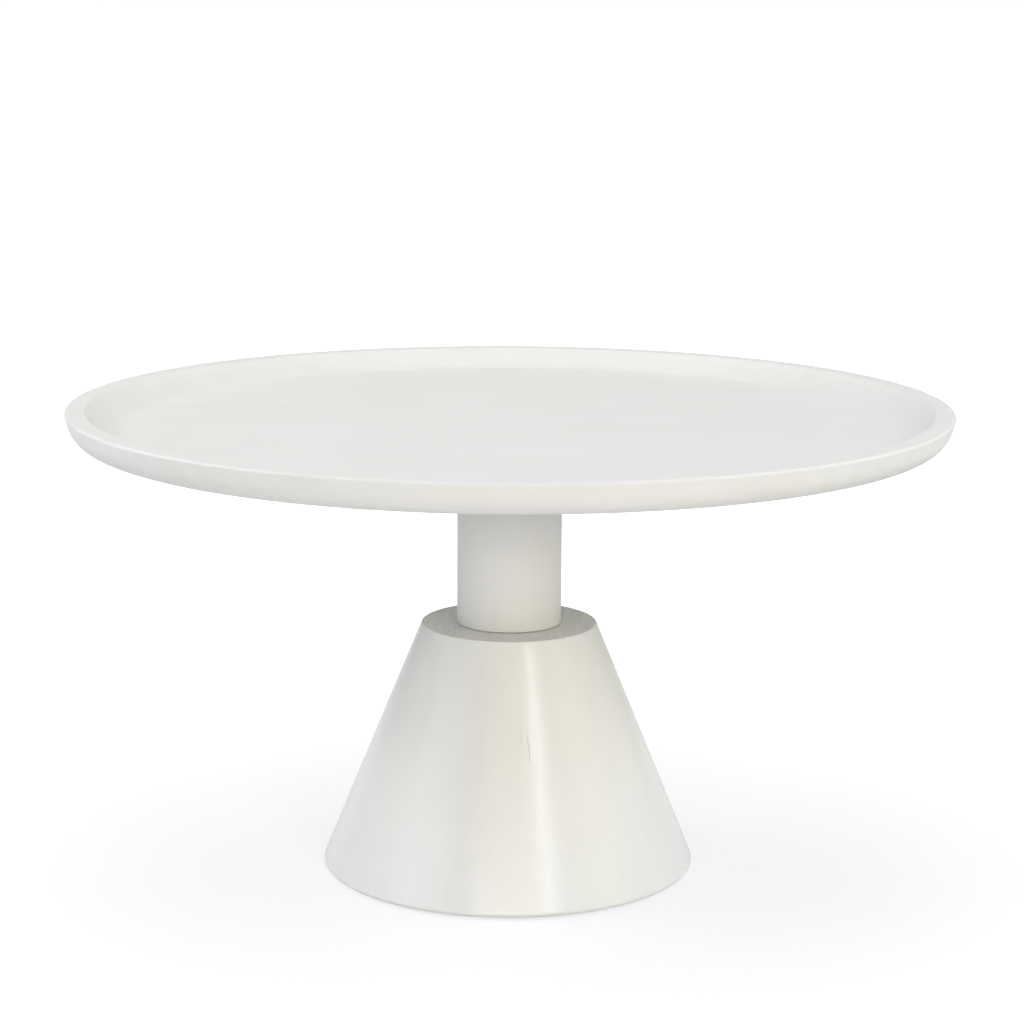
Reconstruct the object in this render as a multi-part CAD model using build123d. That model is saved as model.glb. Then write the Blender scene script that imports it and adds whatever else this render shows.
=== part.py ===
from build123d import *
import os
from math import atan, cos, degrees, radians, sin, tan

# A turned wooden cake stand: a rimmed serving plate on a short round stem, on a truncated cone foot.
# One long bolt, driven up from under the foot, draws the foot, the stem and the plate together.
# Millimetres and degrees. The origin is where the stand's axis meets the surface it stands on, +Z up.

# Whole stand
overall_height = 161.7
pad_stand_off = 0.6  # the felt pads hold the foot this far off the table
sliding_gap = 0.05  # all round between a piece and the hole it sits in

# Serving plate
plate_radius = 150.0  # at its widest, just under the rim's top edge
rim_width = 6.6
recess_depth = 6.3
recess_floor_radius = 129.2
rim_top_edge_round = 0.8
rim_inner_edge_round = 0.5
side_undercut = 16.0  # the rim's side leans in this far from upright, going down
side_height = 4.2
side_round = 9.0
underside_edge_slope = 6.0  # of the domed underside where it meets the side's rounding
stem_seat_radius = 46.0  # flat ring in the middle of the underside

# Stem and foot, both turned from solid wood
stem_radius = 18.0
stem_edge_round = 0.3
tenon_radius = 12.0
tenon_length = 12.0
mortise_depth = 12.4
cone_top_z = 85.6
cone_top_radius = 30.2
cone_foot_radius = 64.4  # at its widest, just above the foot's edge
cone_top_edge_round = 0.6
cone_foot_edge_round = 1.0

# Steel flange let into the plate's underside, with a threaded boss that hangs into the stem
flange_radius = 35.0
flange_thickness = 2.0
boss_radius = 7.0
boss_height = 12.0
boss_clearance = 0.2  # round the boss, in the stem's counterbore
boss_pocket_depth = 12.4

# Four 3 x 8 countersunk wood screws
screw_count = 4
screw_circle_radius = 25.0
screw_length = 8.0
screw_radius = 1.5
screw_head_radius = 3.0
screw_head_land = 0.2
screw_point_length = 2.0
screw_tip_gap = 0.2  # left past the point, in the pilot hole
cross_recess = (3.2, 0.7, 1.2)

# M8 x 120 socket-head bolt, its washers, and the recess for its head under the foot
bolt_radius = 3.95
bolt_length = 120.0
bolt_thread_engagement = 9.0
bolt_point_chamfer = 1.0
bolt_head_radius = 6.5
bolt_head_height = 8.0
bolt_head_chamfer = 0.6
hex_key_across_flats = 6.0
hex_key_depth = 4.0
bolt_bore_radius = 4.5
washer_radius = 12.0
washer_bore_radius = 4.2
washer_thickness = 2.0
spring_washer_radius = 7.4
spring_washer_bore_radius = 4.1
spring_washer_thickness = 2.0
spring_washer_split = 1.0
spring_washer_split_slant = 20.0
head_recess_radius = 14.0

# Felt pads
pad_count = 4
pad_radius = 9.0
pad_thickness = 2.5
pad_edge_round = 0.4
pad_clearance = 0.2
pad_circle_radius = 48.0


def corner_loss(edge_round, lean):
    """How far a rounded edge falls short of its sharp corner, between a level face and one leaning in."""
    return edge_round * ((1 + sin(radians(lean))) / cos(radians(lean)) - 1)


# Heights and radii worked out from the sizes above
recess_floor_z = overall_height - recess_depth
rim_inner_radius = plate_radius - rim_width
corner_radius = plate_radius + corner_loss(rim_top_edge_round, side_undercut)
cone_lean = degrees(atan((cone_foot_radius - cone_top_radius) / (cone_top_z - pad_stand_off)))
cone_corner_radius = cone_foot_radius + corner_loss(cone_foot_edge_round, cone_lean)
side_foot = (corner_radius - side_height * tan(radians(side_undercut)), overall_height - side_height)
round_centre = (
    side_foot[0] - side_round * cos(radians(side_undercut)),
    side_foot[1] + side_round * sin(radians(side_undercut)),
)
underside_edge = (
    round_centre[0] + side_round * sin(radians(underside_edge_slope)),
    round_centre[1] - side_round * cos(radians(underside_edge_slope)),
)
dome_chord_slope = underside_edge_slope / 2
seat_z = underside_edge[1] - (underside_edge[0] - stem_seat_radius) * tan(radians(dome_chord_slope))
flange_top_z = seat_z + flange_thickness
boss_foot_z = seat_z - boss_height
mortise_floor_z = cone_top_z - mortise_depth
bolt_tip_z = boss_foot_z + bolt_thread_engagement
bolt_seat_z = bolt_tip_z - bolt_length
washer_foot_z = bolt_seat_z + spring_washer_thickness
head_recess_top_z = washer_foot_z + washer_thickness

upright = (Align.CENTER, Align.CENTER, Align.MIN)


def turned(*outline):
    """Solid of revolution from an outline of (radius, height) edges on the right of the axis."""
    return revolve(Plane.XZ * make_face(outline), Axis.Z)


def rod(radius, low, high):
    """Upright cylinder on the axis between two heights."""
    return Pos(0, 0, low) * Cylinder(radius, high - low, align=upright)


def edge_at(solid, radius, height):
    """The round edge that a turned solid has at this radius and height."""
    return solid.edges().sort_by_distance((0, radius, height))[0]


def around(radius, count):
    """Places spread evenly on a circle, the first one halfway into its share of the turn."""
    return PolarLocations(radius, count, start_angle=180 / count)


def serving_plate():
    """Rimmed tray: flat floor, hollow-curved wall up to the rim, undercut rounded side, domed underside."""
    underside_slope = (cos(radians(underside_edge_slope)), sin(radians(underside_edge_slope)))
    outline = [
        Line((0, seat_z), (stem_seat_radius, seat_z)),
        TangentArc((stem_seat_radius, seat_z), underside_edge, tangent=(1, 0)),
        TangentArc(underside_edge, side_foot, tangent=underside_slope),
        Polyline(side_foot, (corner_radius, overall_height), (rim_inner_radius, overall_height)),
        TangentArc((recess_floor_radius, recess_floor_z), (rim_inner_radius, overall_height), tangent=(1, 0)),
        Polyline((recess_floor_radius, recess_floor_z), (0, recess_floor_z), (0, seat_z)),
    ]
    plate = turned(*outline)
    plate = fillet(edge_at(plate, corner_radius, overall_height), rim_top_edge_round)
    plate = fillet(edge_at(plate, rim_inner_radius, overall_height), rim_inner_edge_round)
    plate -= rod(flange_radius + sliding_gap, seat_z, flange_top_z)
    pilot = rod(screw_radius + sliding_gap, flange_top_z, seat_z + screw_length + screw_tip_gap)
    return plate - around(screw_circle_radius, screw_count) * pilot


def mounting_flange():
    """Steel disc with countersunk screw holes and a threaded boss under its middle."""
    flange = rod(flange_radius, seat_z, flange_top_z)
    flange += rod(boss_radius, boss_foot_z, seat_z)
    flange -= rod(bolt_radius + sliding_gap, boss_foot_z, flange_top_z)
    hole_radius = screw_radius + sliding_gap
    sink_radius = screw_head_radius + screw_head_land + sliding_gap
    sink_depth = sink_radius - hole_radius
    sink = Pos(0, 0, seat_z) * Cone(sink_radius, hole_radius, sink_depth, align=upright)
    hole = rod(hole_radius, seat_z, flange_top_z) + sink
    return flange - around(screw_circle_radius, screw_count) * hole


def flange_screw():
    """Countersunk wood screw, point up, its head flush with the flange's lower face."""
    cone_top = seat_z + screw_head_land + screw_head_radius - screw_radius
    tip_z = seat_z + screw_length
    outline = Polyline(
        (0, seat_z),
        (screw_head_radius, seat_z),
        (screw_head_radius, seat_z + screw_head_land),
        (screw_radius, cone_top),
        (screw_radius, tip_z - screw_point_length),
        (0, tip_z),
        close=True,
    )
    blade = Pos(0, 0, seat_z) * Box(*cross_recess, align=upright)
    return turned(outline) - blade - Rot(0, 0, 90) * blade


def stem():
    """Straight round post: a tenon below its shoulder, a pocket for the boss on top, bored right through."""
    tenon_foot_z = cone_top_z - tenon_length
    post = rod(stem_radius, cone_top_z, seat_z) + rod(tenon_radius, tenon_foot_z, cone_top_z)
    for radius, height in ((stem_radius, seat_z), (stem_radius, cone_top_z), (tenon_radius, tenon_foot_z)):
        post = fillet(edge_at(post, radius, height), stem_edge_round)
    post -= rod(bolt_bore_radius, tenon_foot_z, seat_z)
    return post - rod(boss_radius + boss_clearance, seat_z - boss_pocket_depth, seat_z)


def base_cone():
    """Truncated cone foot: mortise on top, bolt bore, recess for the bolt's head, pockets for the pads."""
    outline = Polyline(
        (0, pad_stand_off),
        (cone_corner_radius, pad_stand_off),
        (cone_top_radius, cone_top_z),
        (0, cone_top_z),
        close=True,
    )
    cone = turned(outline)
    cone = fillet(edge_at(cone, cone_top_radius, cone_top_z), cone_top_edge_round)
    cone = fillet(edge_at(cone, cone_corner_radius, pad_stand_off), cone_foot_edge_round)
    cone -= rod(tenon_radius + sliding_gap, mortise_floor_z, cone_top_z)
    cone -= rod(bolt_bore_radius, head_recess_top_z, mortise_floor_z)
    cone -= rod(head_recess_radius, pad_stand_off, head_recess_top_z)
    pocket = rod(pad_radius + pad_clearance, pad_stand_off, pad_thickness)
    return cone - around(pad_circle_radius, pad_count) * pocket


def draw_bolt():
    """Socket-head bolt, head down, with its hex socket open to the table side."""
    head_foot_z = bolt_seat_z - bolt_head_height
    bolt = rod(bolt_radius, bolt_seat_z, bolt_tip_z) + rod(bolt_head_radius, head_foot_z, bolt_seat_z)
    bolt = chamfer(edge_at(bolt, bolt_radius, bolt_tip_z), bolt_point_chamfer)
    bolt = chamfer(edge_at(bolt, bolt_head_radius, head_foot_z), bolt_head_chamfer)
    hexagon = RegularPolygon(hex_key_across_flats / 2, 6, major_radius=False)
    return bolt - Pos(0, 0, head_foot_z) * extrude(hexagon, hex_key_depth)


def plain_washer():
    """Wide flat washer that spreads the bolt's pull on the wood."""
    ring = rod(washer_radius, washer_foot_z, head_recess_top_z)
    return ring - rod(washer_bore_radius, washer_foot_z, head_recess_top_z)


def spring_washer():
    """Split spring washer, drawn tightened flat, between the bolt's head and the plain washer."""
    ring = rod(spring_washer_radius, bolt_seat_z, washer_foot_z)
    ring -= rod(spring_washer_bore_radius, bolt_seat_z, washer_foot_z)
    middle = Pos(spring_washer_radius, 0, (bolt_seat_z + washer_foot_z) / 2)
    split = Box(2 * spring_washer_radius, spring_washer_split, 4 * spring_washer_thickness)
    return ring - middle * Rot(spring_washer_split_slant, 0, 0) * split


def felt_pad():
    """Round felt pad, its lower edge worn round."""
    pad = rod(pad_radius, 0, pad_thickness)
    return fillet(edge_at(pad, pad_radius, 0), pad_edge_round)


nodes = {
    "serving_plate": serving_plate(),
    "mounting_flange": mounting_flange(),
    "stem": stem(),
    "base_cone": base_cone(),
    "draw_bolt": draw_bolt(),
    "plain_washer": plain_washer(),
    "spring_washer": spring_washer(),
}
for number, place in enumerate(around(screw_circle_radius, screw_count), start=1):
    nodes[f"flange_screw_{number}"] = place * flange_screw()
for number, place in enumerate(around(pad_circle_radius, pad_count), start=1):
    nodes[f"felt_pad_{number}"] = place * felt_pad()

os.makedirs("parts", exist_ok=True)
for name, solid in nodes.items():
    export_step(solid, f"parts/{name}.step")
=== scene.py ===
import math

import bmesh
import bpy
from mathutils import Matrix, Vector, noise


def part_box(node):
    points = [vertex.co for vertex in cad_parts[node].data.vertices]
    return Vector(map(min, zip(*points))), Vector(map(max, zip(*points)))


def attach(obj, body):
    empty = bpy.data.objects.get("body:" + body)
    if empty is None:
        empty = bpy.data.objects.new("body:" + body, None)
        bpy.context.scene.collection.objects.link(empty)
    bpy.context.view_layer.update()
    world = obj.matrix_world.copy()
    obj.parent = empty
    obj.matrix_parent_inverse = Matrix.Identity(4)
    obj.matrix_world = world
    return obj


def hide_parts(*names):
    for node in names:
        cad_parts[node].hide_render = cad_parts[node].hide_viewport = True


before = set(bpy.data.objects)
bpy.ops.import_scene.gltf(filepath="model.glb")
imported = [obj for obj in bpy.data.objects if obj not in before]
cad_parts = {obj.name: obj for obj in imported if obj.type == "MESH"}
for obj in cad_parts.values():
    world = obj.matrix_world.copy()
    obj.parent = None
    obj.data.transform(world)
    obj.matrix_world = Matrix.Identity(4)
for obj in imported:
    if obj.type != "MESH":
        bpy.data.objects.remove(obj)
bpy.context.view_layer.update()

# A painted, turned wooden cake stand, in the frame's own coordinates: metres, +Z up. Angles are in radians
# where nothing says degrees. The wooden pieces, the draw bolt and the felt pads are made again here as
# finer meshes that replace their CAD nodes. The flange, the washers and the screws keep their CAD shapes.

flange_thickness = 0.002

# Where things are, from the frame
rim_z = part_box("serving_plate")[1].z
plate_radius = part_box("serving_plate")[1].x
seat_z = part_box("mounting_flange")[1].z - flange_thickness
shoulder_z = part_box("base_cone")[1].z
foot_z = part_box("base_cone")[0].z
foot_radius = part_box("base_cone")[1].x
stem_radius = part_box("stem")[1].x
tenon_foot_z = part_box("stem")[0].z
flange_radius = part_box("mounting_flange")[1].x
flange_top_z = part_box("mounting_flange")[1].z
washer_top_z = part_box("plain_washer")[1].z
pad_top_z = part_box("felt_pad_1")[1].z

# Serving plate
rim_width = 0.0066
recess_depth = 0.0063
recess_floor_radius = 0.1292
rim_top_edge_round = 0.0008
rim_inner_edge_round = 0.0005
side_undercut = math.radians(16)
side_height = 0.0042
side_round = 0.009
underside_edge_slope = math.radians(6)
stem_seat_radius = 0.046

# Stem and foot
stem_edge_round = 0.0003
seam_gap = 0.00022  # at its most, under the edge of the stem's shoulder
seam_narrowest = 0.2  # share of the gap left on the other side
seam_widest = math.radians(-65)  # direction, from +X
seam_depth = 0.0012
tenon_radius = 0.012
mortise_depth = 0.0124
bore_radius = 0.0045
boss_pocket_radius = 0.0072
boss_pocket_depth = 0.0124
cone_top_radius = 0.0302
cone_top_edge_round = 0.0006
cone_foot_edge_round = 0.001
head_recess_radius = 0.014
sliding_gap = 0.00005
overcut = 0.001  # how far a cutter reaches past the face that it opens
pocket_overcut = 0.002  # the same, for the pads' pockets

# Drying checks up the front of the cone: degrees round from the front, height, length and width
checks = (
    (5.8, 0.0560, 0.0056, 0.00018),
    (8.8, 0.0523, 0.0094, 0.00022),
    (6.2, 0.0378, 0.0028, 0.00016),
)
check_depth = 0.0002
check_points = 9  # along each side
check_sway = 5.0  # radians of the wave that makes it crooked
check_phase = 100.0  # where that wave starts, in radians for each degree round the cone

# Screws and pads, spread evenly on their circles, the first one halfway into its share of the turn
screw_count = 4
screw_circle_radius = 0.025
screw_radius = 0.0015
pilot_length = 0.0082
pad_count = 4
pad_circle_radius = 0.048
pad_radius = 0.009
pad_clearance = 0.0002
pad_edge_round = 0.0009
felt_slack = 0.00002  # kept free round a pad's side, and half as much under it
felt_wear_depth = 0.00012
felt_wear_size = 0.0012

# Draw bolt
bolt_radius = 0.00395
head_height = 0.008
head_chamfer = 0.0006
point_chamfer = 0.001
hex_key_across_flats = 0.006
hex_key_depth = 0.004
thread_length = 0.028
thread_pitch = 0.00125
thread_depth = 0.0007
thread_slope = 1.4  # share of the depth that a flank would gain over half the pitch
thread_crest = 0.15  # taken off that share, so that the crest stays flat
knurl_count = 32
knurl_depth = 0.0002
knurl_margin = 0.0006  # plain band at each end of the knurling

# How fine the meshes are
finest_ring = 512
segment_length = 0.0009
row_height = 0.0009
plate_row_height = 0.003
dome_steps = 56
side_steps = 28
cove_steps = 26
rim_top_steps = 10
rim_inner_steps = 7
cone_edge_steps = 8
pad_edge_steps = 8
pilot_corners = 24
pad_row_height = 0.0004
pad_segments = 128
bolt_rows_per_turn = 8  # of the thread
bolt_segments = 96
on_axis = 1e-6

# Material numbers of a piece's faces
PAINT, BARE, END_GRAIN = 0, 1, 2
ONLY = 0

floor_reach = 60.0


# ---------------------------------------------------------------- outlines


def arc_from(start, end, heading, count):
    """Points after start on the arc that leaves it in this heading and ends at end."""
    start = Vector(start)
    heading = Vector(heading).normalized()
    side = Vector((-heading.y, heading.x))
    chord = Vector(end) - start
    bend = math.atan2(side.dot(chord), heading.dot(chord))
    radius = chord.length / 2 / math.sin(bend)
    points = []
    for step in range(1, count + 1):
        turn = bend * step / count
        reach = 2 * radius * math.sin(turn)
        points.append(start + reach * (math.cos(turn) * heading + math.sin(turn) * side))
    return points


def rounded(before, corner, after, radius, count=6):
    """The arc that rounds a corner of an outline."""
    corner = Vector(corner)
    back = (Vector(before) - corner).normalized()
    onward = (Vector(after) - corner).normalized()
    reach = radius / math.tan(back.angle(onward) / 2)
    start = corner + reach * back
    return [start] + arc_from(start, corner + reach * onward, -back, count)


def divided(points, spacing):
    """The outline with extra points along its long straight stretches."""
    points = [Vector(p) for p in points]
    made = [points[0]]
    for start, end in zip(points, points[1:]):
        parts = max(1, round((end - start).length / spacing))
        made += [start.lerp(end, part / parts) for part in range(1, parts + 1)]
    return made


def corner_loss(edge_round, lean):
    """How far a rounded edge falls short of its sharp corner."""
    return edge_round * ((1 + math.sin(lean)) / math.cos(lean) - 1)


# ---------------------------------------------------------------- meshes


def ring_size(radius):
    """Segments round a ring: a power of two, fewer near the axis."""
    wanted = 2 * math.pi * max(radius, segment_length) / segment_length
    return min(finest_ring, max(8, 2 ** math.ceil(math.log2(wanted))))


def bridged(wide, narrow):
    """Faces between two rings of vertex numbers, of which the wide one has as many or a multiple."""
    share = len(wide) // len(narrow)
    faces = []
    for i, here in enumerate(narrow):
        there = narrow[(i + 1) % len(narrow)]
        outer = [wide[(i * share + k) % len(wide)] for k in range(share + 1)]
        if share == 1:
            faces.append((outer[0], outer[1], there, here))
            continue
        for k in range(share):
            faces.append((outer[k], outer[k + 1], here if k < share // 2 else there))
        faces.append((outer[share // 2], there, here))
    return faces


def placed(name, data):
    """New object in the scene that shows this mesh, light or camera."""
    thing = bpy.data.objects.new(name, data)
    bpy.context.scene.collection.objects.link(thing)
    return thing


def turned(name, stretches, closed=False, spacing=row_height, segments=None):
    """Piece of revolution. Each stretch is (outline points, material number), and they run end to end."""
    outline, finishes = [], []
    for points, finish in stretches:
        points = divided(points, spacing)
        outline += points if not outline else points[1:]
        finishes += [finish] * (len(points) - 1)
    if closed:
        outline.pop()
    vertices, rings = [], []
    for radius, height in outline:
        count = segments or ring_size(radius)
        if radius < on_axis:
            count = 1
        rings.append(range(len(vertices), len(vertices) + count))
        for i in range(count):
            angle = 2 * math.pi * i / count
            vertices.append((radius * math.cos(angle), radius * math.sin(angle), height))
    faces, numbers = [], []
    neighbours = list(zip(rings, rings[1:]))
    if closed:
        neighbours.append((rings[-1], rings[0]))
    for (low, high), finish in zip(neighbours, finishes):
        wide, narrow = (low, high) if len(low) >= len(high) else (high, low)
        if len(narrow) == 1:
            new = [(wide[i], wide[(i + 1) % len(wide)], narrow[0]) for i in range(len(wide))]
        else:
            new = bridged(wide, narrow)
        faces += new
        numbers += [finish] * len(new)
    mesh = bpy.data.meshes.new(name)
    mesh.from_pydata(vertices, [], faces)
    mesh.polygons.foreach_set("material_index", numbers)
    return placed(name, mesh)


def finished(piece, sharp=35.0):
    """Outward normals, smooth shading, and crisp edges where the surface turns by over sharp degrees."""
    shape = bmesh.new()
    shape.from_mesh(piece.data)
    bmesh.ops.recalc_face_normals(shape, faces=shape.faces)
    limit = math.radians(sharp)
    for face in shape.faces:
        face.smooth = True
    for edge in shape.edges:
        edge.smooth = len(edge.link_faces) == 2 and edge.calc_face_angle() < limit
    shape.to_mesh(piece.data)
    shape.free()
    return piece


def worn_down(piece, depth, size, seed):
    """Sinks the surface unevenly by up to depth, in soft patches of about this size."""
    shape = bmesh.new()
    shape.from_mesh(piece.data)
    bmesh.ops.recalc_face_normals(shape, faces=shape.faces)
    shape.normal_update()
    offset = Vector((seed, 2 * seed, 3 * seed))
    moves = []
    for vertex in shape.verts:
        height = noise.noise(vertex.co / size + offset) + 0.4 * noise.noise(vertex.co * 3 / size + offset)
        sink = depth * min(1.0, max(0.0, 0.5 + 0.6 * height))
        moves.append(-sink * vertex.normal)
    for vertex, move in zip(shape.verts, moves):
        vertex.co += move
    shape.to_mesh(piece.data)
    shape.free()
    return piece


def reshaped(piece, rule):
    """Moves each vertex in or out from the axis, as rule(radius, angle, height) says."""
    for vertex in piece.data.vertices:
        radius = math.hypot(vertex.co.x, vertex.co.y)
        if radius > on_axis:
            scale = rule(radius, math.atan2(vertex.co.y, vertex.co.x), vertex.co.z) / radius
            vertex.co.x *= scale
            vertex.co.y *= scale
    return piece


def cutter(points, low, high):
    """Vertical prism on a closed outline of (x, y) points, between two heights, as a loose bmesh."""
    shape = bmesh.new()
    bottom = [shape.verts.new((x, y, low)) for x, y in points]
    top = [shape.verts.new((x, y, high)) for x, y in points]
    shape.faces.new(bottom[::-1])
    shape.faces.new(top)
    for i in range(len(points)):
        j = (i + 1) % len(points)
        shape.faces.new((bottom[i], bottom[j], top[j], top[i]))
    return shape


def cut_away(piece, cutters, finish):
    """Takes the cutters' space out of the piece. The new walls get the material with this number."""
    merged = bpy.data.meshes.new("cut")
    whole = bmesh.new()
    for shape in cutters:
        shape.to_mesh(merged)
        whole.from_mesh(merged)
        shape.free()
    for face in whole.faces:
        face.material_index = finish
    whole.to_mesh(merged)
    whole.free()
    for material in piece.data.materials:
        merged.materials.append(material)
    tool = placed("cut", merged)
    modifier = piece.modifiers.new("cut", "BOOLEAN")
    modifier.operation = "DIFFERENCE"
    modifier.solver = "EXACT"
    modifier.object = tool
    applied = bpy.data.meshes.new_from_object(
        piece.evaluated_get(bpy.context.evaluated_depsgraph_get())
    )
    piece.modifiers.clear()
    piece.data = applied
    bpy.data.objects.remove(tool)
    return piece


def around(radius, count):
    """Centres spread evenly on a circle, the first one halfway into its share of the turn."""
    angles = [2 * math.pi * (i + 0.5) / count for i in range(count)]
    return [(radius * math.cos(a), radius * math.sin(a)) for a in angles]


def disc(centre, radius, corners=64):
    """Outline of a round cutter, or of one with few corners."""
    angles = [2 * math.pi * i / corners for i in range(corners)]
    return [(centre[0] + radius * math.cos(a), centre[1] + radius * math.sin(a)) for a in angles]


# ---------------------------------------------------------------- materials


def grow(tree, kind, inputs=None, **settings):
    """New shader node. An input's value is a number, a colour or another node's output."""
    node = tree.nodes.new("ShaderNode" + kind)
    for key, value in settings.items():
        setattr(node, key, value)
    for socket, value in (inputs or {}).items():
        if isinstance(value, bpy.types.NodeSocket):
            tree.links.new(value, node.inputs[socket])
        else:
            node.inputs[socket].default_value = value
    return node


def fresh(name, **constants):
    """New material with a Principled shader: returns it, its tree, the shader and object coordinates."""
    material = bpy.data.materials.new(name)
    material.use_nodes = True
    tree = material.node_tree
    tree.nodes.clear()
    shader = grow(tree, "BsdfPrincipled", constants)
    output = grow(tree, "OutputMaterial")
    tree.links.new(shader.outputs["BSDF"], output.inputs["Surface"])
    place = grow(tree, "TexCoord").outputs["Object"]
    return material, tree, shader, place


def stretched(tree, place, fineness):
    """Coordinates multiplied along each axis, so that a texture is drawn out along the smallest number."""
    return grow(tree, "VectorMath", {0: place, 1: fineness}, operation="MULTIPLY").outputs[0]


def fbm(tree, place, scale, detail=3.0, roughness=0.55):
    """Fractal noise from 0 to 1, scale in features per metre."""
    inputs = {"Vector": place, "Scale": scale, "Detail": detail, "Roughness": roughness}
    return grow(tree, "TexNoise", inputs).outputs["Fac"]


def between(tree, value, low, high, to_low, to_high):
    """The value's stretch from low to high spread over to_low to to_high, and held there beyond."""
    inputs = {
        "Value": value,
        "From Min": low,
        "From Max": high,
        "To Min": to_low,
        "To Max": to_high,
    }
    return grow(tree, "MapRange", inputs).outputs["Result"]


def total(tree, first, second, weight=1.0):
    """first + weight * second"""
    inputs = {0: second, 1: weight, 2: first}
    return grow(tree, "Math", inputs, operation="MULTIPLY_ADD").outputs[0]


def tinted(tree, factor, low, high):
    """Colour that goes from low to high with the factor."""
    inputs = {"Factor": factor, 6: (*low, 1), 7: (*high, 1)}
    return grow(tree, "Mix", inputs, data_type="RGBA").outputs[2]


def raised(tree, shader, layers):
    """Chains bumps. Each layer is (height from 0 to 1, depth in metres)."""
    normal = None
    for height, depth in layers:
        inputs = {"Height": height, "Distance": depth, "Strength": 1.0}
        if normal is not None:
            inputs["Normal"] = normal
        normal = grow(tree, "Bump", inputs).outputs["Normal"]
    tree.links.new(normal, shader.inputs["Normal"])


def growth_rings(tree, place, middle, spacing):
    """Annual rings about an upright pith through middle, off to one side."""
    moved = grow(tree, "VectorMath", {0: place, 1: middle}, operation="SUBTRACT").outputs[0]
    inputs = {
        "Vector": moved,
        "Scale": math.pi / 10 / spacing,
        "Distortion": 5.0,
        "Detail": 4.0,
        "Detail Scale": 0.5,
    }
    return grow(tree, "TexWave", inputs, wave_type="RINGS", rings_direction="Z").outputs["Fac"]


def painted_wood(name, along, light, shadow, rough=0.35, relief=1.0, contrast=1.0, ring_weight=0.0):
    """Satin off-white paint that lets the grain under it show faintly. along is the grain's fineness on
    each axis, relief scales all its depths, and contrast sets how clearly light and shadow stand apart."""
    material, tree, shader, place = fresh(name, **{"IOR": 1.5, "Specular IOR Level": 0.5})
    drawn = stretched(tree, place, along)
    streaks = fbm(tree, drawn, 1.0, detail=5.0, roughness=0.6)
    clouds = fbm(tree, place, 22.0, detail=3.0)
    pore_field = fbm(tree, stretched(tree, drawn, (4.5, 4.5, 4.5)), 1.0, detail=0.0)
    sunk = between(tree, pore_field, 0.30, 0.42, 0.0, 1.0)
    waves = fbm(tree, stretched(tree, place, (190.0, 190.0, 90.0)), 1.0, detail=2.0)
    peel = fbm(tree, stretched(tree, place, (1300.0, 1300.0, 650.0)), 1.0, detail=1.0)
    rings = growth_rings(tree, place, pith, ring_spacing)
    tone = total(tree, total(tree, streaks, clouds, 0.5), rings, ring_weight)
    middle = 0.75 + ring_weight / 2
    shade = between(tree, tone, middle - 0.2 / contrast, middle + 0.2 / contrast, 0.0, 1.0)
    tree.links.new(tinted(tree, shade, shadow, light), shader.inputs["Base Color"])
    gloss = total(tree, between(tree, clouds, 0.3, 0.7, rough, rough + 0.03), sunk, 0.02)
    tree.links.new(gloss, shader.inputs["Roughness"])
    layers = [(waves, wave_depth), (streaks, grain_depth), (sunk, pore_depth), (peel, peel_depth)]
    raised(tree, shader, [(height, depth * relief) for height, depth in layers])
    return material


def bare_wood(name):
    """Unpainted beech inside the bores and pockets."""
    material, tree, shader, place = fresh(name, **{"Specular IOR Level": 0.3})
    drawn = stretched(tree, place, (420.0, 420.0, 30.0))
    streaks = fbm(tree, drawn, 1.0, detail=5.0, roughness=0.65)
    rings = growth_rings(tree, place, inner_pith, inner_ring_spacing)
    tone = total(tree, streaks, rings, 0.3)
    shade = between(tree, tone, 0.35, 0.95, 0.0, 1.0)
    colour = tinted(tree, shade, (0.36, 0.21, 0.11), (0.62, 0.43, 0.27))
    tree.links.new(colour, shader.inputs["Base Color"])
    rough = between(tree, streaks, 0.3, 0.7, 0.55, 0.75)
    tree.links.new(rough, shader.inputs["Roughness"])
    raised(tree, shader, [(streaks, 0.00008)])
    return material


def plated_steel(name):
    """Bright zinc plating: faint blue and straw clouds, fine scratches, a few duller stains."""
    material, tree, shader, place = fresh(name, **{"Metallic": 1.0})
    clouds = fbm(tree, place, 120.0, detail=3.0)
    stains = fbm(tree, place, 45.0, detail=4.0, roughness=0.7)
    scratches = fbm(tree, stretched(tree, place, (60.0, 1800.0, 900.0)), 1.0, detail=2.0)
    shade = between(tree, clouds, 0.35, 0.65, 0.0, 1.0)
    colour = tinted(tree, shade, (0.56, 0.58, 0.62), (0.66, 0.64, 0.58))
    tree.links.new(colour, shader.inputs["Base Color"])
    rough = total(tree, between(tree, stains, 0.35, 0.7, 0.22, 0.42), scratches, 0.12)
    tree.links.new(rough, shader.inputs["Roughness"])
    raised(tree, shader, [(scratches, 0.000008), (clouds, 0.00001)])
    return material


def felt(name):
    """Pressed grey wool felt: matted fibres, a little lint, a soft sheen."""
    constants = {"Sheen Weight": 0.35, "Sheen Roughness": 0.5, "Specular IOR Level": 0.15}
    material, tree, shader, place = fresh(name, **constants)
    mat = fbm(tree, place, 700.0, detail=5.0, roughness=0.7)
    fibres = fbm(tree, stretched(tree, place, (2600.0, 700.0, 2600.0)), 1.0, detail=3.0)
    tone = total(tree, mat, fibres, 0.6)
    shade = between(tree, tone, 0.55, 1.05, 0.0, 1.0)
    colour = tinted(tree, shade, (0.24, 0.22, 0.19), (0.38, 0.355, 0.31))
    tree.links.new(colour, shader.inputs["Base Color"])
    rough = between(tree, mat, 0.3, 0.7, 0.88, 1.0)
    tree.links.new(rough, shader.inputs["Roughness"])
    raised(tree, shader, [(mat, 0.0003), (fibres, 0.00015)])
    return material


# Colours of the paint on the long grain and on the end grain. The end grain's colours are darker, partly
# because end grain drinks more paint and partly as painted shade from the plate above the cone's top
paint_light = (0.715, 0.707, 0.685)
paint_shadow = (0.685, 0.677, 0.650)
end_grain_shaded_light = (0.660, 0.652, 0.620)
end_grain_shaded_dark = (0.540, 0.532, 0.510)

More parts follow.
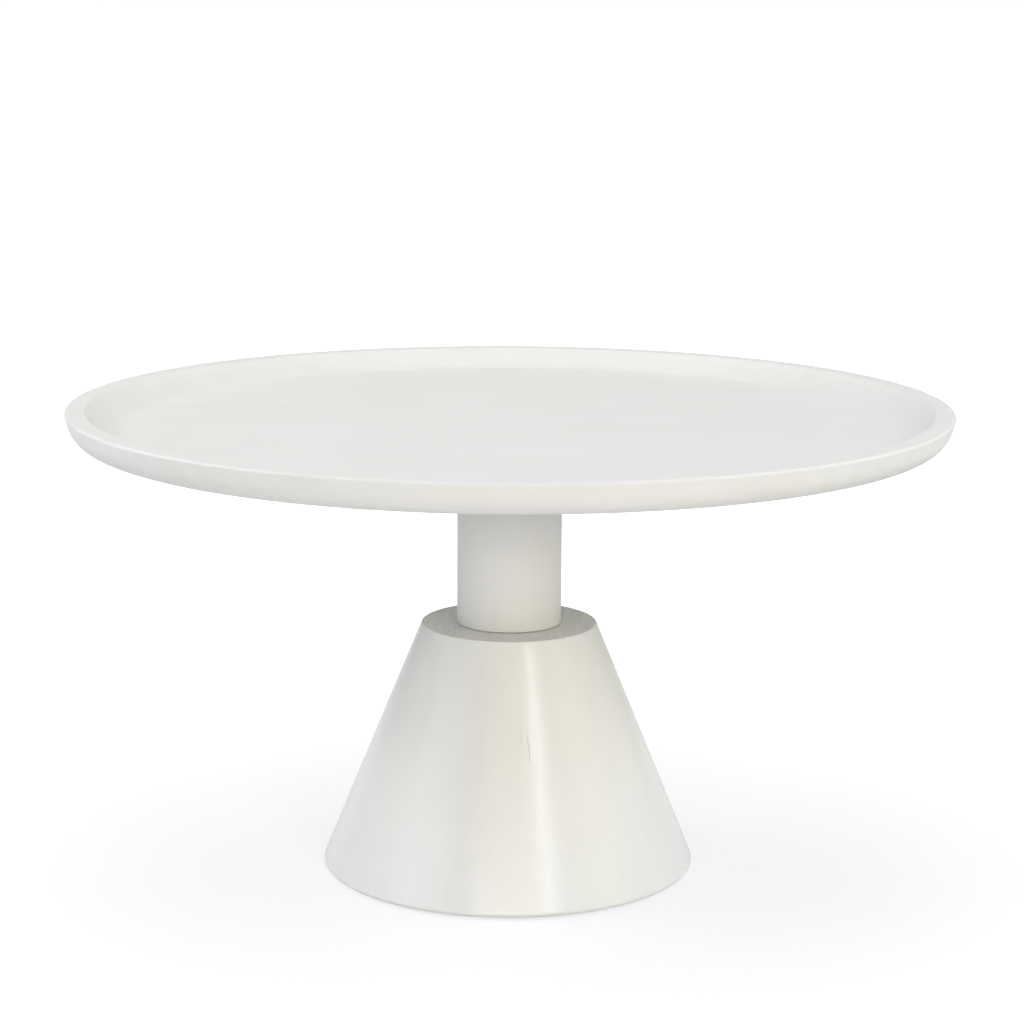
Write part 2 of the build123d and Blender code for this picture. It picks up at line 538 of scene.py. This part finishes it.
# Depths of the paint's brush waves, raised grain, pores and orange peel
wave_depth = 0.000012
grain_depth = 0.000003
pore_depth = 0.000003
peel_depth = 0.000015

# Where the growth rings have their middle, and how far apart they are
pith = (0.055, -0.045, 0.0)
ring_spacing = 0.0045
inner_pith = (0.05, 0.04, 0.0)
inner_ring_spacing = 0.0028

plate_paint = painted_wood(
    "plate_paint", (8.0, 260.0, 120.0), paint_light, paint_shadow, rough=0.55, relief=0.35
)
stem_paint = painted_wood(
    "stem_paint", (420.0, 420.0, 14.0), paint_light, paint_shadow, relief=0.7, contrast=0.6
)
cone_paint = painted_wood(
    "cone_paint", (300.0, 300.0, 10.0), paint_light, paint_shadow, rough=0.22, relief=1.3, contrast=0.5
)
# Paint for the cone's top face: end grain, darkened further as painted shade from the plate above
end_grain_shaded_paint = painted_wood("end_grain_shaded_paint", (500.0, 40.0, 420.0), end_grain_shaded_light, end_grain_shaded_dark, ring_weight=0.12)
inner_wood = bare_wood("inner_wood")
steel = plated_steel("steel")
pad_felt = felt("pad_felt")


# ---------------------------------------------------------------- pieces


def serving_plate():
    """Rimmed tray: flat floor, hollow-curved wall, undercut rounded side and a gently domed underside."""
    floor_z = rim_z - recess_depth
    corner = (plate_radius + corner_loss(rim_top_edge_round, side_undercut), rim_z)
    inner = (plate_radius - rim_width, rim_z)
    side_foot = (corner[0] - side_height * math.tan(side_undercut), rim_z - side_height)
    centre = (
        side_foot[0] - side_round * math.cos(side_undercut),
        side_foot[1] + side_round * math.sin(side_undercut),
    )
    under = (
        centre[0] + side_round * math.sin(underside_edge_slope),
        centre[1] - side_round * math.cos(underside_edge_slope),
    )
    slope = (math.cos(underside_edge_slope), math.sin(underside_edge_slope))
    cove = arc_from((recess_floor_radius, floor_z), inner, (1, 0), cove_steps)
    pocket_radius = flange_radius + sliding_gap
    pocket = [(0, flange_top_z), (pocket_radius, flange_top_z), (pocket_radius, seat_z)]
    skin = [(pocket_radius, seat_z), (stem_seat_radius, seat_z)]
    skin += arc_from((stem_seat_radius, seat_z), under, (1, 0), dome_steps)
    skin += arc_from(under, side_foot, slope, side_steps)
    skin += rounded(side_foot, corner, inner, rim_top_edge_round, rim_top_steps)
    # The rim's inner rounding takes the place of the cove's last two points
    skin += rounded(corner, inner, cove[-2], rim_inner_edge_round, rim_inner_steps)
    skin += cove[-3::-1]
    skin += [(recess_floor_radius, floor_z), (0, floor_z)]
    piece = turned("tray", [(pocket, BARE), (skin, PAINT)], spacing=plate_row_height)
    for material in (plate_paint, inner_wood):
        piece.data.materials.append(material)
    pilots = []
    for centre in around(screw_circle_radius, screw_count):
        outline = disc(centre, screw_radius + sliding_gap, pilot_corners)
        pilots.append(cutter(outline, flange_top_z - overcut, seat_z + pilot_length))
    cut_away(piece, pilots, BARE)
    return finished(piece)


def stem():
    """Straight round post with a tenon below, bored right through, and a pocket for the flange's boss.
    The edge of its shoulder is lifted a little and leaves an uneven seam where it stands on the cone."""
    pocket_floor_z = seat_z - boss_pocket_depth
    shoulder = (stem_radius, shoulder_z)
    tenon_edge = (tenon_radius, tenon_foot_z)
    top_edge = (stem_radius, seat_z)
    inside = [
        (boss_pocket_radius, seat_z),
        (boss_pocket_radius, pocket_floor_z),
        (bore_radius, pocket_floor_z),
        (bore_radius, tenon_foot_z),
    ]
    tenon = [(bore_radius, tenon_foot_z)]
    tenon += rounded((bore_radius, tenon_foot_z), tenon_edge, (tenon_radius, shoulder_z), stem_edge_round)
    tenon += [(tenon_radius, shoulder_z), (stem_radius - stem_edge_round, shoulder_z)]
    post = rounded((tenon_radius, shoulder_z), shoulder, top_edge, stem_edge_round)
    post += rounded(shoulder, top_edge, (0, seat_z), stem_edge_round)
    rest = [(stem_radius - stem_edge_round, seat_z), (boss_pocket_radius, seat_z)]
    stretches = [(inside, BARE), (tenon, BARE), (post, PAINT), (rest, BARE)]
    piece = turned("post", stretches, closed=True)
    for vertex in piece.data.vertices:
        radius = math.hypot(vertex.co.x, vertex.co.y)
        if radius > stem_radius - seam_depth and vertex.co.z < shoulder_z + stem_edge_round / 2:
            angle = math.atan2(vertex.co.y, vertex.co.x)
            opening = 0.5 + 0.5 * math.cos(angle - seam_widest)
            vertex.co.z += seam_gap * (seam_narrowest + (1 - seam_narrowest) * opening)
    for material in (stem_paint, inner_wood):
        piece.data.materials.append(material)
    return finished(piece)


def drying_check(turn, height, length, width, lean):
    """Cutter for a fine crack that runs up the cone, pointed at both ends, a little crooked."""
    last = check_points - 1
    side = [width / 2 * math.sin(math.pi * i / last) for i in range(check_points)]
    phase = check_phase * turn
    drift = [width * math.sin(check_sway * i / check_points + phase) for i in range(check_points)]
    up = [length * (i / last - 0.5) for i in range(check_points)]
    outline = [(drift[i] + side[i], up[i]) for i in range(check_points)]
    outline += [(drift[i] - side[i], up[i]) for i in range(last - 1, 0, -1)]
    shape = cutter(outline, -check_depth, check_depth)
    radius = foot_radius - (height - foot_z) * math.tan(lean)
    shape.transform(
        Matrix.Rotation(math.radians(turn), 4, "Z")
        @ Matrix.Translation((0, -radius, height))
        @ Matrix.Rotation(math.pi / 2 - lean, 4, "X")
    )
    return shape


def base_cone():
    """Truncated cone foot with its mortise, bolt bore, head recess, pad pockets and drying checks."""
    lean = math.atan((foot_radius - cone_top_radius) / (shoulder_z - foot_z))
    foot_corner = (foot_radius + corner_loss(cone_foot_edge_round, lean), foot_z)
    top_corner = (cone_top_radius, shoulder_z)
    mortise_floor_z = shoulder_z - mortise_depth
    mortise_radius = tenon_radius + sliding_gap
    inside = [
        (mortise_radius, shoulder_z),
        (mortise_radius, mortise_floor_z),
        (bore_radius, mortise_floor_z),
        (bore_radius, washer_top_z),
        (head_recess_radius, washer_top_z),
        (head_recess_radius, foot_z),
    ]
    skin = [(head_recess_radius, foot_z)]
    skin += rounded((0, foot_z), foot_corner, top_corner, cone_foot_edge_round, cone_edge_steps)
    top_edge = rounded(foot_corner, top_corner, (0, shoulder_z), cone_top_edge_round, cone_edge_steps)
    # The end grain's paint begins a little past the middle of the top edge's rounding
    side_points = 2 * len(top_edge) // 3
    skin += top_edge[:side_points]
    top = top_edge[side_points - 1:] + [(mortise_radius, shoulder_z)]
    # The top face gets the end-grain paint, which also carries painted shade from the plate above
    piece = turned("foot", [(inside, BARE), (skin, PAINT), (top, END_GRAIN)], closed=True)
    for material in (cone_paint, inner_wood, end_grain_shaded_paint):
        piece.data.materials.append(material)
    pockets = []
    for centre in around(pad_circle_radius, pad_count):
        outline = disc(centre, pad_radius + pad_clearance)
        pockets.append(cutter(outline, foot_z - pocket_overcut, pad_top_z))
    cut_away(piece, pockets, BARE)
    cut_away(piece, [drying_check(*check, lean) for check in checks], PAINT)
    return finished(piece)


def felt_pad(number, centre):
    """Round felt pad with a soft, slightly squashed lower edge and a matted skin."""
    skin_radius = pad_radius - felt_slack
    edge = (skin_radius, felt_slack / 2)
    top = (skin_radius, pad_top_z)
    skin = [(0, edge[1])] + rounded((0, edge[1]), edge, top, pad_edge_round, pad_edge_steps)
    skin += [top, (0, pad_top_z)]
    piece = turned(f"pad_{number}", [(skin, ONLY)], spacing=pad_row_height, segments=pad_segments)
    worn_down(piece, felt_wear_depth, felt_wear_size, number)
    piece.data.transform(Matrix.Translation((*centre, 0)))
    piece.data.materials.append(pad_felt)
    return finished(piece)


def draw_bolt():
    """Socket-head bolt: knurled head, plain shank, and a cut thread up to its pointed tip."""
    low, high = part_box("draw_bolt")
    head_radius = high.x
    seat_height = low.z + head_height
    thread_foot_z = high.z - thread_length
    tip_radius = bolt_radius - point_chamfer
    knurl_low = low.z + head_chamfer + knurl_margin
    knurl_high = seat_height - knurl_margin
    outline = [
        (0, low.z),
        (head_radius - head_chamfer, low.z),
        (head_radius, low.z + head_chamfer),
        (head_radius, seat_height),
        (bolt_radius, seat_height),
        (bolt_radius, high.z - point_chamfer),
        (tip_radius, high.z),
        (0, high.z),
    ]
    row = thread_pitch / bolt_rows_per_turn
    piece = turned("bolt", [(outline, ONLY)], spacing=row, segments=bolt_segments)

    def cut_profile(radius, angle, height):
        """The radius that knurling the head's side and threading the shank's end leave of this one."""
        if radius > head_radius - knurl_depth and knurl_low < height < knurl_high:
            return radius - knurl_depth * (0.5 - 0.5 * math.cos(knurl_count * angle))
        on_shank = tip_radius - on_axis <= radius <= bolt_radius + on_axis
        if not on_shank or height < thread_foot_z:
            return radius
        phase = (height / thread_pitch - angle / (2 * math.pi)) % 1.0
        runout = min(1.0, (height - thread_foot_z) / thread_pitch)
        flank = thread_slope * (1 - abs(2 * phase - 1)) - thread_crest
        return radius - thread_depth * runout * min(1.0, max(0.0, flank))

    reshaped(piece, cut_profile)
    piece.data.materials.append(steel)
    hexagon = disc((0, 0), hex_key_across_flats / 2 / math.cos(math.pi / 6), 6)
    cut_away(piece, [cutter(hexagon, low.z - overcut, low.z + hex_key_depth)], ONLY)
    return finished(piece, 30.0)


def seat(piece, slot_name, *nodes):
    """Sets the piece on the frame in place of these nodes."""
    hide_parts(*nodes)
    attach(piece, "root")


seat(serving_plate(), "painted_wood", "serving_plate")
seat(stem(), "painted_wood", "stem")
seat(base_cone(), "painted_wood", "base_cone")
seat(draw_bolt(), "zinc_plated_steel", "draw_bolt")
for number, centre in enumerate(around(pad_circle_radius, pad_count), start=1):
    seat(felt_pad(number, centre), "felt", f"felt_pad_{number}")

steel_nodes = ["mounting_flange", "plain_washer", "spring_washer"]
steel_nodes += [f"flange_screw_{number}" for number in range(1, screw_count + 1)]
for name in steel_nodes:
    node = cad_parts[name]
    node.data.materials.clear()
    node.data.materials.append(steel)


# ---------------------------------------------------------------- floor, light and camera


def ground(name, height, reach, near_glow, far_glow, albedo):
    """Wide pale floor. Over this reach of distances from the middle its glow goes from near to far. It is
    clear from below, so that the underside can be looked at."""
    shape = bmesh.new()
    corners = ((-1, -1), (1, -1), (1, 1), (-1, 1))
    shape.faces.new([shape.verts.new((floor_reach * x, floor_reach * y, height)) for x, y in corners])
    mesh = bpy.data.meshes.new(name)
    shape.to_mesh(mesh)
    shape.free()
    floor = placed(name, mesh)
    material, tree, shader, place = fresh(name, **{"Roughness": 0.9, "Specular IOR Level": 0.0})
    fibre = between(tree, fbm(tree, place, 300.0), 0.3, 0.7, 0.98 * albedo, albedo)
    tree.links.new(fibre, shader.inputs["Base Color"])
    shader.inputs["Emission Color"].default_value = (1, 1, 1, 1)
    away = grow(tree, "VectorMath", {0: place}, operation="LENGTH").outputs["Value"]
    glow = between(tree, away, *reach, near_glow, far_glow)
    glow.node.interpolation_type = "SMOOTHSTEP"
    tree.links.new(glow, shader.inputs["Emission Strength"])
    below = grow(tree, "NewGeometry").outputs["Backfacing"]
    see_through = grow(tree, "BsdfTransparent").outputs["BSDF"]
    mixed = grow(tree, "MixShader", {0: below, 1: shader.outputs["BSDF"], 2: see_through}).outputs[0]
    tree.links.new(mixed, tree.nodes["Material Output"].inputs["Surface"])
    floor.data.materials.append(material)
    return floor


def room(faces):
    """Soft surrounding light from six sides, blended by the square of the direction. faces has a pair for
    each axis: the colour from its negative side and from its positive one. The camera sees white."""
    world = bpy.data.worlds.new("room")
    bpy.context.scene.world = world
    world.use_nodes = True
    tree = world.node_tree
    tree.nodes.clear()
    direction = grow(tree, "TexCoord").outputs["Generated"]
    parts = grow(tree, "SeparateXYZ", {0: direction}).outputs
    light = None
    for axis, (negative, positive) in enumerate(faces):
        side = grow(tree, "Math", {0: parts[axis], 1: 0.0}, operation="GREATER_THAN").outputs[0]
        colour = tinted(tree, side, negative, positive)
        square = grow(tree, "Math", {0: parts[axis], 1: parts[axis]}, operation="MULTIPLY").outputs[0]
        scaled = grow(tree, "VectorMath", {0: colour, "Scale": square}, operation="SCALE").outputs[0]
        if light is None:
            light = scaled
        else:
            light = grow(tree, "VectorMath", {0: light, 1: scaled}, operation="ADD").outputs[0]
    lit = grow(tree, "Background", {"Color": light}).outputs[0]
    white = grow(tree, "Background", {"Color": (1, 1, 1, 1)}).outputs[0]
    seen = grow(tree, "LightPath").outputs["Is Camera Ray"]
    mixed = grow(tree, "MixShader", {0: seen, 1: lit, 2: white}).outputs[0]
    output = grow(tree, "OutputWorld")
    tree.links.new(mixed, output.inputs["Surface"])


def softbox(name, azimuth, elevation, distance, size, radiance, target=(0, 0, 0.09)):
    """Area light round the stand, turned to face it. azimuth and elevation are in degrees: azimuth 0 is in
    front and 90 at the right. radiance is its brightness in red, green and blue."""
    lamp = bpy.data.lights.new(name, "AREA")
    lamp.shape = "RECTANGLE"
    lamp.size, lamp.size_y = size
    peak = max(radiance)
    lamp.color = [channel / peak for channel in radiance]
    lamp.energy = peak * math.pi * size[0] * size[1]
    turn, rise = math.radians(azimuth), math.radians(elevation)
    back = Vector((math.sin(turn) * math.cos(rise), -math.cos(turn) * math.cos(rise), math.sin(rise)))
    holder = placed(name, lamp)
    holder.location = Vector(target) + distance * back
    holder.rotation_mode = "QUATERNION"
    holder.rotation_quaternion = back.to_track_quat("Z", "Y")


# The camera sees only the sweep, whose glow dims towards the foot as a painted shadow round the stand. The
# bounce, just under it, is the floor that lights the stand. It glows more below the foot, so that the
# underside isn't black in a view from below.
sweep = ground("sweep", 0.0, (0.08, 0.45), 0.64, 1.1, 0.3)
for kind in ("diffuse", "glossy", "transmission", "shadow"):
    setattr(sweep, "visible_" + kind, False)
bounce = ground("bounce", -0.0002, (0.9 * foot_radius, foot_radius), 0.5, 0.1, 0.65)
bounce.visible_camera = False

dim = (0.1, 0.1, 0.1)
room([((0.12, 0.17, 0.22), (0.55, 0.58, 0.53)), (dim, (0.34, 0.36, 0.36)), (dim, dim)])
# name, azimuth, elevation, distance, width and height, brightness of red, green and blue
softbox("strip", 26.0, 27, 1.3, (0.11, 0.55), (12.6, 12.5, 12.7))
softbox("strip_fringe", 33, 27, 1.3, (0.12, 0.55), (3.0, 2.9, 2.8))
softbox("front_low", 0, 15, 1.5, (1.2, 0.26), (7.6, 6.9, 6.0))
softbox("front_mid", 0, 25, 1.5, (1.2, 0.12), (1.15, 1.05, 0.3))
softbox("left_low", -60, 15, 1.5, (1.0, 0.5), (1.05, 1.35, 1.55))
softbox("left_high", -60, 50, 1.5, (1.0, 0.5), (1.9, 2.05, 2.55))
softbox("right_low", 60, 15, 1.5, (1.0, 0.5), (1.3, 1.25, 0.8))
softbox("right_high", 60, 50, 1.5, (1.0, 0.5), (0.95, 1.5, 2.6))
softbox("left_side", -105, 35, 1.5, (0.8, 0.6), (8.1, 7.9, 8.1))
softbox("right_side", 105, 35, 1.5, (0.8, 0.6), (5.25, 5.3, 5.6))
softbox("overhead", 0, 95, 1.4, (1.6, 0.15), (4.2, 3.5, 2.3))
softbox("back_high", 180, 55, 1.6, (1.6, 0.6), (0.5, 0.42, 0.2))

camera_place = Vector((0.0008, -0.8943, 0.2995))
camera_pitch = math.radians(-11.10)
camera_roll = math.radians(0.32)
lens = bpy.data.cameras.new("camera")
lens.lens = 93.32  # millimetres, as is the sensor's width
lens.sensor_width = 36.0
camera = placed("camera", lens)
camera.matrix_world = (
    Matrix.Translation(camera_place)
    @ Matrix.Rotation(math.radians(90) + camera_pitch, 4, "X")
    @ Matrix.Rotation(camera_roll, 4, "Z")
)
bpy.context.scene.camera = camera
bpy.context.scene.view_settings.view_transform = "Standard"
